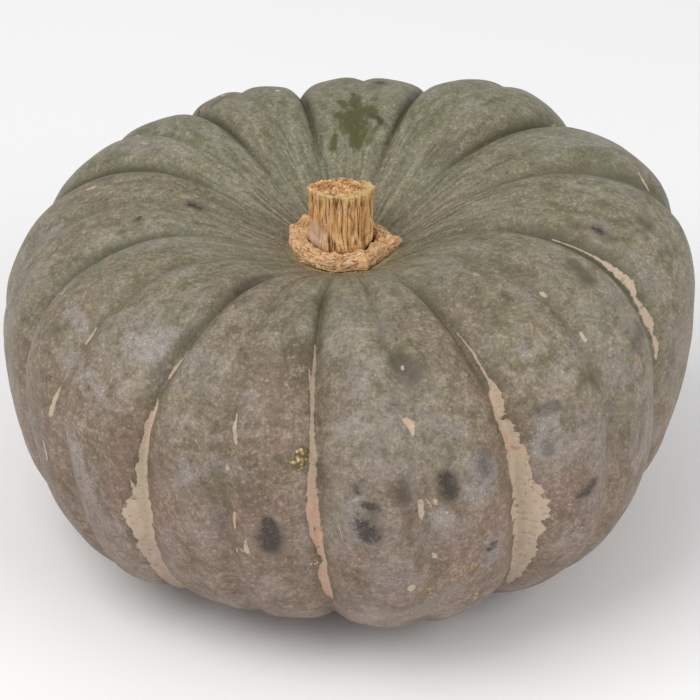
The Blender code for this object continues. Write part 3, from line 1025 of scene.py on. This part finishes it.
def scar_cork(f, n):
    """(how much cork shows, its colour)."""
    inside = torn_edge(f, "scar", n.mottle, n.teeth, n.flecks)
    scar = f.ease(inside, -0.12, 0.18)
    rim = f.ease(inside, 0.7, 0.0) * scar
    rosy = f.attribute("rosy") * f.ease(n.fibres + (n.hues - 0.5) * 0.6, 0.38, 0.54) * 0.85
    rosy_spots = f.ease(n.hues + (n.fibres - 0.5) * 0.8, 0.52, 0.70) * 0.35
    hole = f.ease(torn_edge(f, "hole", n.flecks, n.flecks, n.dust), -0.2, 0.2)
    return scar, f.layers(
        CORK_PALE,
        (CORK_GREY, f.ease(n.height + (n.hues - 0.5) * 0.06, 0.075, 0.030) * 0.75),
        (CORK_ROSY, rosy.at_least(rosy_spots)),
        (CORK_LIGHT, f.ease(n.fibres + (n.strands - 0.5) * 0.6, 0.50, 0.68) * 0.50),
        (CORK_EDGE, f.ease(n.strands + (n.flecks - 0.5) * 0.6, 0.42, 0.26) * 0.42),
        (CORK_EDGE, (f.ease(n.flecks, 0.42, 0.28) * 0.6).at_least(rim * 0.35)),
        (NET, hole * 0.85),
    )


print("cork:", CORK_PALE)

# %% Put the rind together
SKIN_RELIEF = 0.0010


def skin_finish():
    """The rind with its mottling and its marks."""
    f = Finish("rind")
    n = skin_noises(f)
    haze, colour = bloom_and_bruises(f, n, groove_shade_and_blotch(f, n, bare_rind(f, n)))
    colour = rust_and_wart(f, n, colour)
    scar, cork = scar_cork(f, n)
    colour = f.blend(colour, cork, scar * (f.ease(n.height, 0.012, 0.055) * 0.30 + 0.70))
    rough = 0.50 + haze * 0.16 + scar * 0.30 + (n.mottle - 0.5) * 0.35
    relief = n.mottle * 0.32 + n.flecks * 0.36 + n.dust * 0.28 + n.streaks * n.near_stem * 0.5
    relief = relief + (n.strands * 0.4 - 0.4) * scar
    return f.surface(colour, rough, relief, SKIN_RELIEF)


skin = put("fruit_skin", skin_mesh)
skin_mesh.materials.append(skin_finish())
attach(skin, "root")
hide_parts("fruit")
print("rind:", len(skin_mesh.materials[0].node_tree.nodes), "nodes")

# %% [markdown]
# ## The stump
#
# The dry stump of the stalk is golden brown and split into fibres. It narrows to a waist, rounds in at its
# foot and slopes at its torn top. It is a turned shape first: a half section is drawn as a row of vertices
# and spun. The fissures are then pressed into it by noise that is stretched up the stalk, so that they run
# as the fibres do.

# %% Turn shapes about the stem's axis
STEM_HEIGHT = 0.0300
STUMP_TOP_RADIUS = 0.0137
STUMP_RIM = 0.0012
STUMP_WAIST_RADIUS = 0.0132
STUMP_FOOT_RADIUS = 0.0136
STUMP_FOOT_HEIGHT = 0.0072
STEM_TOP_SLOPE = 0.25
SLOPE_START = 0.014
SLOPE_BAND = 0.013
STUMP_COLUMNS = 360


def arc(centre, half_width, half_height, start, end, steps):
    """(radius, height) points of an elliptic arc, start and end in degrees from straight outwards."""
    angles = [math.radians(start + (end - start) * i / steps) for i in range(steps + 1)]
    return [(centre[0] + half_width * math.cos(a), centre[1] + half_height * math.sin(a)) for a in angles]


def evenly(points, spacing):
    """The same line with points at an even spacing."""
    radii, heights = np.array(points).T
    walked = np.concatenate([[0.0], np.cumsum(np.hypot(np.diff(radii), np.diff(heights)))])
    stops = np.linspace(0.0, walked[-1], max(2, round(walked[-1] / spacing)) + 1)
    return list(zip(np.interp(stops, walked, radii), np.interp(stops, walked, heights)))


def turned(section, columns, closed):
    """A bmesh that is the half section spun about the Z axis. A closed section makes a ring."""
    shape = bmesh.new()
    corners = [shape.verts.new((radius, 0.0, height)) for radius, height in section]
    pairs = list(zip(corners, corners[1:])) + ([(corners[-1], corners[0])] if closed else [])
    edges = [shape.edges.new(pair) for pair in pairs]
    about = {"cent": (0, 0, 0), "axis": (0, 0, 1), "angle": 2 * math.pi}
    bmesh.ops.spin(shape, geom=corners + edges, steps=columns, use_merge=True, **about)
    bmesh.ops.remove_doubles(shape, verts=shape.verts, dist=1e-6)
    bmesh.ops.recalc_face_normals(shape, faces=shape.faces)
    return shape


def add_piece(name, shape, values, finish, node):
    """Puts a finished bmesh in the scene, on its seat in the dimple."""
    mesh = bpy.data.meshes.new(name)
    bmesh.ops.translate(shape, verts=shape.verts, vec=Vector(seat))
    shape.to_mesh(mesh)
    shape.free()
    for value_name, numbers in values.items():
        keep_value(mesh, value_name, numbers)
    mesh.shade_smooth()
    mesh.materials.append(finish)
    piece = put(name, mesh)
    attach(piece, "root")
    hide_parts(node)
    return piece


print("the seat is at", [round(c / MM, 1) for c in seat], "mm")

# %% Draw the stump's half section
WAIST_TOP = 0.0235
WAIST_BOTTOM = 0.0150
FOOT_ROUNDING = 0.0060
FOOT_ROUNDING_HEIGHT = 0.0062
UNDERSIDE_HEIGHT = 0.0010
SECTION_SPACING = 0.00030


def stump_section():
    """Half section of the stump, from the middle of its top to the middle of its underside."""
    rim_middle = (STUMP_TOP_RADIUS - STUMP_RIM, STEM_HEIGHT - STUMP_RIM)
    foot_middle = (STUMP_FOOT_RADIUS - FOOT_ROUNDING, STUMP_FOOT_HEIGHT)
    rim = arc(rim_middle, STUMP_RIM, STUMP_RIM, 90, 0, 4)
    side = [(STUMP_WAIST_RADIUS, WAIST_TOP), (STUMP_WAIST_RADIUS, WAIST_BOTTOM)]
    foot = arc(foot_middle, FOOT_ROUNDING, FOOT_ROUNDING_HEIGHT, 20, -72, 10)
    underside = [(FOOT_ROUNDING, UNDERSIDE_HEIGHT), (0.0, UNDERSIDE_HEIGHT)]
    return evenly([(0.0, STEM_HEIGHT), *rim, *side, *foot], SECTION_SPACING) + underside


print("points in the stump's section:", len(stump_section()))

# %% [markdown]
# Each vertex of the turned stump is moved outwards by the flutes and inwards by the fissures. The torn rim
# goes up and down, the top is dished and rough, and at last the whole top is sheared so that it slopes to
# the back. How deep each vertex lies in a fissure, between the ridges or in a hollow of the top is kept for
# the material, which paints shade there, so colour and relief agree.

# %% Describe the stump's fibres and its torn top
FISSURE_WIDTH = 0.0017
FISSURE_START = 0.002
FISSURE_FADE = 0.007
CRACK_SHARPNESS = 5.5
RIDGE_WIDTH = 0.00070
WANDER = 0.0006
WANDER_SIZE = 0.006
GAP_SIZE = 0.005
FINE_GRAIN = 0.0013
LARGE_GRAIN = 0.0034
BROKEN_RING_WIDTH = 0.0013
BROKEN_RING_CURL = 0.0045
# How fast each pattern changes up the stalk
WANDER_CLIMB = 110
GAP_CLIMB = 90
FISSURE_CLIMB = 0.07
RIDGE_CLIMB = 0.06
# Blender seeds its vector noise from the clock, so a seed of its own keeps each run the same.
VECTOR_NOISE_SEED = 3
noise.seed_set(VECTOR_NOISE_SEED)


def ease_one(value):
    """The smooth rise for a single number."""
    return float(ease(value))


def crack_at(place, width):
    """1 along the middle of winding cracks in a noise of a given width, 0 away from them."""
    return max(0.0, 1 - abs(noise.noise(place / width)) * CRACK_SHARPNESS)


def fibres_at(stalk, height):
    """(how deep in a fissure, how high on a ridge) a place is. Both patterns change slowly up the stalk."""
    wander = Vector(noise.noise_vector(stalk / WANDER_SIZE + Vector((0, 0, height * WANDER_CLIMB)))) * WANDER
    deep = crack_at(stalk + Vector((0, 0, height * FISSURE_CLIMB)) + wander, FISSURE_WIDTH)
    deep *= ease_one(0.65 + 1.6 * noise.noise(stalk / GAP_SIZE + Vector((3, 3, height * GAP_CLIMB))))
    deep *= 0.3 + 0.7 * ease_one((height - FISSURE_START) / FISSURE_FADE)
    return deep, noise.noise((stalk + Vector((7, 0, height * RIDGE_CLIMB)) + wander * 0.8) / RIDGE_WIDTH)


def roughness_at(place, radius, azimuth):
    """How far the torn top goes up or down at a place: lumps of two sizes and broken rings."""
    curl = Vector(noise.noise_vector(place / BROKEN_RING_CURL)) * 0.9
    rough = 0.7 * noise.noise(place / FINE_GRAIN) + 0.7 * noise.noise(place / LARGE_GRAIN + Vector((2, 2, 2)))
    return rough + 0.9 * noise.noise(Vector((radius / BROKEN_RING_WIDTH, azimuth * 1.4, 1.0)) + curl)


print("a fissure is about", FISSURE_WIDTH / MM, "mm from the next, a ridge", RIDGE_WIDTH / MM, "mm")

# %% Split and tear the stump
FLUTES = 13
FLUTE_DEPTH = 0.00030
FLUTE_FADE = 0.012
FISSURE_DEPTH = 0.00075
RIDGE_DEPTH = 0.00036
STALK_RADIUS = 0.014
LUMP_ON_STALK = 0.0007
LUMP_ON_STALK_SIZE = 0.006
THREE_SIDED = 0.0005
TORN_RIM = 0.0006
TORN_SIZE = 0.0026
TORN_BAND = 0.0050
TORN_SPLAY = 0.0009
TOP_DISH = 0.0008
TOP_ROUGHNESS = 0.0011
LIP_DEPTH = 0.0012
LIP_RADIUS = 0.0125
LIP_WIDTH = 0.0012
TOP_EDGE = 0.0016
TOP_EDGE_BAND = 0.0014
RIM_RADIUS = 0.0138
RIM_BAND = 0.0020
UNTORN_RADIUS = 0.0105
UNTORN_BAND = 0.003
STILL_RADIUS = 0.006
PALE_RADIUS = 0.0080
PALE_BAND = 0.004
PALE_AZIMUTH = 0.5


def stump_shape():
    """(bmesh, each vertex's painted shade from fissures and hollows, how torn it is, and whether it is on the
    top).
    """
    shape = turned(stump_section(), STUMP_COLUMNS, closed=False)
    cracks, tears, tops = [], [], []
    for vertex in shape.verts:
        radius, height = math.hypot(vertex.co.x, vertex.co.y), vertex.co.z
        out = Vector((vertex.co.x, vertex.co.y, 0)).normalized() if radius > 1e-6 else Vector((0, 0, 0))
        azimuth = math.atan2(vertex.co.x, -vertex.co.y)
        top = ease_one((height - STEM_HEIGHT + TOP_EDGE) / TOP_EDGE_BAND)
        top *= ease_one((RIM_RADIUS - radius) / RIM_BAND)
        side = 1 - top
        stalk = out * STALK_RADIUS
        deep, ridge = fibres_at(stalk, height)
        lump = noise.noise(vertex.co / LUMP_ON_STALK_SIZE + Vector((5, 5, 5)))
        flute = FLUTE_DEPTH * math.cos(FLUTES * azimuth + 2.5 * lump) * ease_one(height / FLUTE_FADE)
        offset = flute - FISSURE_DEPTH * deep
        offset += RIDGE_DEPTH * ridge + LUMP_ON_STALK * lump + THREE_SIDED * math.sin(3 * azimuth + 1)
        rim = ease_one((height - STEM_HEIGHT + TORN_BAND) / TORN_BAND)
        tear = noise.noise(stalk / TORN_SIZE) + 0.7 * noise.noise(stalk / TORN_SIZE * 2.9)
        lip = math.exp(-(((radius - LIP_RADIUS) / LIP_WIDTH) ** 2)) * top
        vertex.co += out * offset * side * ease_one(radius / STILL_RADIUS)
        vertex.co += out * TORN_SPLAY * max(0.0, tear) * rim * side
        vertex.co.z += TORN_RIM * tear * rim * ease_one((radius - UNTORN_RADIUS) / UNTORN_BAND)
        rough = roughness_at(vertex.co, radius, azimuth)
        vertex.co.z += (TOP_ROUGHNESS * rough - TOP_DISH) * top - LIP_DEPTH * lip * max(0.0, 0.4 - tear)
        vertex.co.z -= STEM_TOP_SLOPE * vertex.co.y * ease_one((height - SLOPE_START) / SLOPE_BAND)
        # Depth in the fissures, between the ridges and in the hollows of the top, which the material paints
        # as shade.
        cracks.append((deep + 0.9 * max(0.0, -ridge)) * side + max(0.0, -rough) * 2.4 * top)
        facing = 0.55 + 0.45 * math.cos(azimuth - PALE_AZIMUTH)
        pale = ease_one((radius - PALE_RADIUS) / PALE_BAND)
        torn = rim * side * max(0.0, tear + 0.55) + top * pale * 0.9
        tears.append(torn * facing)
        tops.append(top)
    return shape, {"crack": cracks, "tear": tears, "top": tops}


stump_bmesh, stump_values = stump_shape()
print("stump:", len(stump_bmesh.verts), "vertices")

# %% Finish the stump
GOLDEN = (0.800, 0.420, 0.150)
HONEY_AND_HIGHLIGHT = (0.960, 0.670, 0.340)
BARK_AND_SHADE = (0.330, 0.155, 0.050)
CRACK_SHADE = (0.190, 0.085, 0.030)
TORN_GREEN = (0.440, 0.400, 0.140)
STRAW = (0.700, 0.540, 0.290)
LILAC = (0.680, 0.520, 0.460)
ROSY = (0.760, 0.480, 0.330)
LILAC_STAIN = Vector(seat) + Vector((-0.0125, -0.0080, 0.0100))
LILAC_STAIN_REACH = 0.0085
STALK_RELIEF = 0.0007


def stump_finish():
    """Dry split stalk: golden, painted shade in cracks, painted light and shade on fibres, greenish torn rim,
    lilac stain at left.
    """
    f = Finish("dry_stalk")
    place = f.place()
    fibres = f.noise(f.stretch(place, (1, 1, 0.09)), 0.0010, 3, 0.65)
    streaks = f.noise(f.stretch(place, (1, 1, 0.20)), 0.0036, 3, 0.6)
    blotches = f.noise(place, 0.0050, 3)
    grain = f.noise(place, 0.0007, 2, 0.6)
    crack, torn = f.attribute("crack"), f.attribute("tear")
    away = f.node("ShaderNodeVectorMath", {"operation": "DISTANCE"}, {0: place, 1: LILAC_STAIN}, "Value")
    stain = f.ease(away + (blotches - 0.5) * 0.006, LILAC_STAIN_REACH, LILAC_STAIN_REACH * 0.4)
    colour = f.layers(
        GOLDEN,
        # Lighter and darker fibres, which also shape the relief: partly their own colour, partly painted
        # highlight on the raised fibres and painted shade between them.
        (HONEY_AND_HIGHLIGHT, f.ease(fibres, 0.46, 0.58) * 0.95),
        (BARK_AND_SHADE, f.ease(fibres, 0.46, 0.36) * 0.85),
        (BARK_AND_SHADE, f.ease(streaks, 0.48, 0.34) * 0.50),
        (ROSY, f.ease(blotches, 0.52, 0.66) * 0.50),
        # The fine grain darkens its low spots: partly its own colour, partly painted shade.
        (BARK_AND_SHADE, f.ease(grain, 0.47, 0.32) * 0.60),
        # Painted shade in the fissures, between the ridges and in the hollows of the top.
        (CRACK_SHADE, f.ease(crack + (fibres - 0.5) * 0.8, 0.20, 0.9) * 0.85),
        (BARK_AND_SHADE, f.ease(blotches + (grain - 0.5) * 0.6, 0.64, 0.42) * f.attribute("top") * 0.80),
        (STRAW, f.ease(torn + (grain - 0.5) * 1.2, 0.10, 0.55) * 0.60),
        (TORN_GREEN, f.ease(torn + (blotches - 0.5) * 2.2 + (grain - 0.5) * 1.6, 0.30, 0.95) * 0.70),
        (LILAC, stain * 0.65),
    )
    relief = fibres * 0.6 + grain * 0.35 - crack * 0.2
    return f.surface(colour, 0.80 + (grain - 0.5) * 0.2, relief, STALK_RELIEF)


stump = add_piece("stump", stump_bmesh, stump_values, stump_finish(), "stem")
print("stump finished at", [round(c / MM) for c in stump.dimensions], "mm")

# %% [markdown]
# ## The cork collar
#
# Round the stump's foot the stalk has healed into a thick ring of cork. It isn't round: it has blunt
# corners, where the ribs of the stalk ran out into the fruit, and one long corner points to the right. A
# low ridge runs out to each corner, and the left side is curled up. Its section is a squarish oval, spun
# into a ring and then pulled out at the corners. The cork itself is a tangle of short worm-like ridges with
# pits between them.

# %% Shape the collar
COLLAR_RADIUS = 0.0179
COLLAR_HALF_WIDTH = 0.0039
COLLAR_HALF_HEIGHT = 0.0034
COLLAR_SQUARENESS = 2.6
COLLAR_COLUMNS = 440
COLLAR_SECTION_POINTS = 76
COLLAR_SUNK = 0.0008
WORM_DEPTH = 0.00038
WORM_WIDTH = 0.00060
WORM_STRETCH = 0.30
WORM_CURL = 0.0011
WORM_CURL_SIZE = 0.0028
COLLAR_LUMP = 0.00090
COLLAR_LUMP_SIZE = 0.0050
PLEAT_DEPTH = 0.0005
PLEAT_SPACING = math.radians(17)
PLEAT_SHARPNESS = 5.0
PLEAT_CLIMB = 60
OUTER_START = 0.002
OUTER_BAND = 0.006
SEATED_BAND = 0.0025
INWARD_SLOPE = 0.0010
CURL_AZIMUTH = -115
CURL_WIDTH = 50
CURL_RISE = 0.0026


class Corner(NamedTuple):
    """A corner of the collar."""

    azimuth: float  # in degrees
    reach: float  # how far it stands out
    width: float  # in degrees


CORNERS = (
    Corner(azimuth=-135, reach=0.0036, width=30),
    Corner(azimuth=-108, reach=0.0036, width=30),
    Corner(azimuth=-50, reach=0.0026, width=6),
    Corner(azimuth=-10, reach=0.0027, width=5),
    Corner(azimuth=28, reach=0.0029, width=5),
    Corner(azimuth=58, reach=0.0004, width=9),
    Corner(azimuth=88, reach=0.0060, width=10),
    Corner(azimuth=150, reach=0.0012, width=12),
    Corner(azimuth=195, reach=0.0020, width=12),
)
CORNER_INSET = 0.0015
RIDGE_RISE = 0.0011
RIDGE_ANGLE = 4


def squarish(centre, half_width, half_height, power, steps):
    """Points of a closed superellipse."""
    points = []
    for i in range(steps):
        angle = 2 * math.pi * i / steps
        across = math.copysign(abs(math.cos(angle)) ** (2 / power), math.cos(angle))
        up = math.copysign(abs(math.sin(angle)) ** (2 / power), math.sin(angle))
        points.append((centre[0] + half_width * across, centre[1] + half_height * up))
    return points


def at_corners(azimuth):
    """(how far the collar stands out, 1 on a corner's ridge and 0 between) at an azimuth in degrees."""
    aways = [abs((azimuth - corner.azimuth + 180) % 360 - 180) for corner in CORNERS]
    reaches = [corner.reach * math.exp(-away / corner.width) for corner, away in zip(CORNERS, aways)]
    return max(reaches) - CORNER_INSET, math.exp(-min(aways) / RIDGE_ANGLE)


def collar_shape():
    """(bmesh, the painted shade of each vertex from pits, pleats and the seat on the skin, its place along
    and across the ring).
    """
    middle = (COLLAR_RADIUS, COLLAR_HALF_HEIGHT - COLLAR_SUNK)
    sides = (COLLAR_HALF_WIDTH, COLLAR_HALF_HEIGHT)
    section = squarish(middle, *sides, COLLAR_SQUARENESS, COLLAR_SECTION_POINTS)
    shape = turned(section, COLLAR_COLUMNS, closed=True)
    shape.normal_update()
    pits, along_ring = [], []
    for vertex in shape.verts:
        radius, height = math.hypot(vertex.co.x, vertex.co.y), vertex.co.z
        azimuth = math.degrees(math.atan2(vertex.co.x, -vertex.co.y))
        reach, ridge = at_corners(azimuth)
        out = Vector((vertex.co.x, vertex.co.y, 0)).normalized()
        outer = ease_one((radius - COLLAR_RADIUS + OUTER_START) / OUTER_BAND)
        above = ease_one(height / SEATED_BAND)
        across = math.atan2(height - COLLAR_HALF_HEIGHT, radius - COLLAR_RADIUS) * COLLAR_HALF_WIDTH
        on_ring = out * COLLAR_RADIUS
        ring = on_ring * WORM_STRETCH + Vector((0, 0, across))
        curl = Vector(noise.noise_vector(vertex.co / WORM_CURL_SIZE)) * WORM_CURL
        worm = noise.noise((ring + curl) / WORM_WIDTH)
        worm += 0.7 * noise.noise((ring + curl * 1.3) / WORM_WIDTH / 2.4)
        folds = noise.noise(on_ring / (COLLAR_RADIUS * PLEAT_SPACING) + Vector((0, 0, height * PLEAT_CLIMB)))
        pleat = max(0.0, 1 - abs(folds) * PLEAT_SHARPNESS)
        lump = noise.noise(vertex.co / COLLAR_LUMP_SIZE)
        slant = (radius - COLLAR_RADIUS) / COLLAR_HALF_WIDTH
        vertex.co += vertex.normal * (COLLAR_LUMP * lump + WORM_DEPTH * worm - PLEAT_DEPTH * pleat) * above
        vertex.co += out * reach * outer
        vertex.co.z += (RIDGE_RISE * ridge - INWARD_SLOPE * slant) * above
        curled = ease_one(1 - abs(azimuth - CURL_AZIMUTH) / CURL_WIDTH)
        vertex.co.z += CURL_RISE * curled * max(0.0, slant) * above
        # Painted shade: in the pits between the worms, in the pleats, and low down where the collar sits on
        # the skin.
        pits.append(max(0.0, -worm) * 1.3 + 0.4 * pleat + 0.3 * (1 - above))
        along_ring.append(ring)
    return shape, pits, along_ring


collar_bmesh, collar_pit_shade, collar_ring = collar_shape()
print("collar:", len(collar_bmesh.verts), "vertices")

# %% Finish the collar
PEACH = (0.700, 0.430, 0.228)
CREAM_HIGHLIGHT = (0.930, 0.670, 0.410)
PIT_SHADE = (0.250, 0.115, 0.042)
CORK_ROUGHNESS = 0.86
CORK_RELIEF = 0.0008


def collar_finish():
    """Cork: peach, with painted highlights on its ridges and painted shade in its pits, pleats and low down
    where it sits on the skin.
    """
    f = Finish("cork")
    place = f.place()
    ring = f.attribute("ring", "Vector")
    worms = f.noise(ring, 0.00075, 3, 0.65, 0.9)
    blotches = f.noise(place, 0.0050, 3)
    grain = f.noise(place, 0.0005, 2, 0.6)
    colour = f.layers(
        PEACH,
        # Painted highlights on the worm-like ridges of the relief, and painted shade between them.
        (CREAM_HIGHLIGHT, f.ease(worms, 0.48, 0.62) * 0.85),
        (PIT_SHADE, f.ease(worms, 0.47, 0.34) * 0.85),
        (GOLDEN, f.ease(blotches, 0.50, 0.66) * 0.35),
        # Fine dark specks of painted shade.
        (PIT_SHADE, f.ease(grain, 0.42, 0.28) * 0.45),
        # Painted shade in the pits, in the pleats and low down where the collar sits on the skin.
        (PIT_SHADE, f.ease(f.attribute("pit_shade") + (grain - 0.5) * 0.4, 0.20, 0.85) * 0.75),
    )
    return f.surface(colour, CORK_ROUGHNESS, worms * 0.7 + grain * 0.3, CORK_RELIEF)


collar = add_piece("cork_collar", collar_bmesh, {"pit_shade": collar_pit_shade}, collar_finish(), "stem")
keep_place(collar.data, "ring", np.array(collar_ring))
print("collar finished at", [round(c / MM) for c in collar.dimensions], "mm")

# %% [markdown]
# ## Floor and light
#
# The fruit lies on a plain pale floor. The light is that of a white studio: a bright sky all round that
# leaves hardly any shadow, a large soft lamp above and a little to the left, and a weaker one from the
# right.

# %% Lay the floor and set the lamps
FLOOR_HALF_SIDE = 3.0
PALE = (0.94, 0.94, 0.94)
SLIGHTLY_DARKER = (0.92, 0.92, 0.92)
FLOOR_CLOUDS = 0.4
SKY_STRENGTH = 0.60


def floor_finish():
    """A matt pale board."""
    f = Finish("pale_floor")
    place = f.place()
    return f.surface(f.blend(PALE, SLIGHTLY_DARKER, f.noise(place, FLOOR_CLOUDS, 2)), 0.9)


def add_lamp(name, place, size, power):
    """A square lamp that faces the fruit."""
    light = bpy.data.lights.new(name, "AREA")
    light.size, light.energy = size, power
    lamp = put(name, light)
    lamp.location = place
    lamp.rotation_euler = (AIM - Vector(place)).to_track_quat("-Z", "Y").to_euler()


board = bmesh.new()
bmesh.ops.create_grid(board, x_segments=1, y_segments=1, size=FLOOR_HALF_SIDE)
floor_mesh = bpy.data.meshes.new("floor")
board.to_mesh(floor_mesh)
board.free()
floor_mesh.materials.append(floor_finish())
floor = put("floor", floor_mesh)

add_lamp("key", place=(-0.9, -0.7, 1.8), size=1.4, power=22)
add_lamp("fill", place=(1.3, -0.9, 1.1), size=1.2, power=9)
world = bpy.data.worlds.new("studio")
world.use_nodes = True
world.node_tree.nodes["Background"].inputs["Color"].default_value = (1.0, 1.0, 1.0, 1.0)
world.node_tree.nodes["Background"].inputs["Strength"].default_value = SKY_STRENGTH
bpy.context.scene.world = world
bpy.context.scene.view_settings.view_transform = "Standard"
print("floor and lamps are in place")
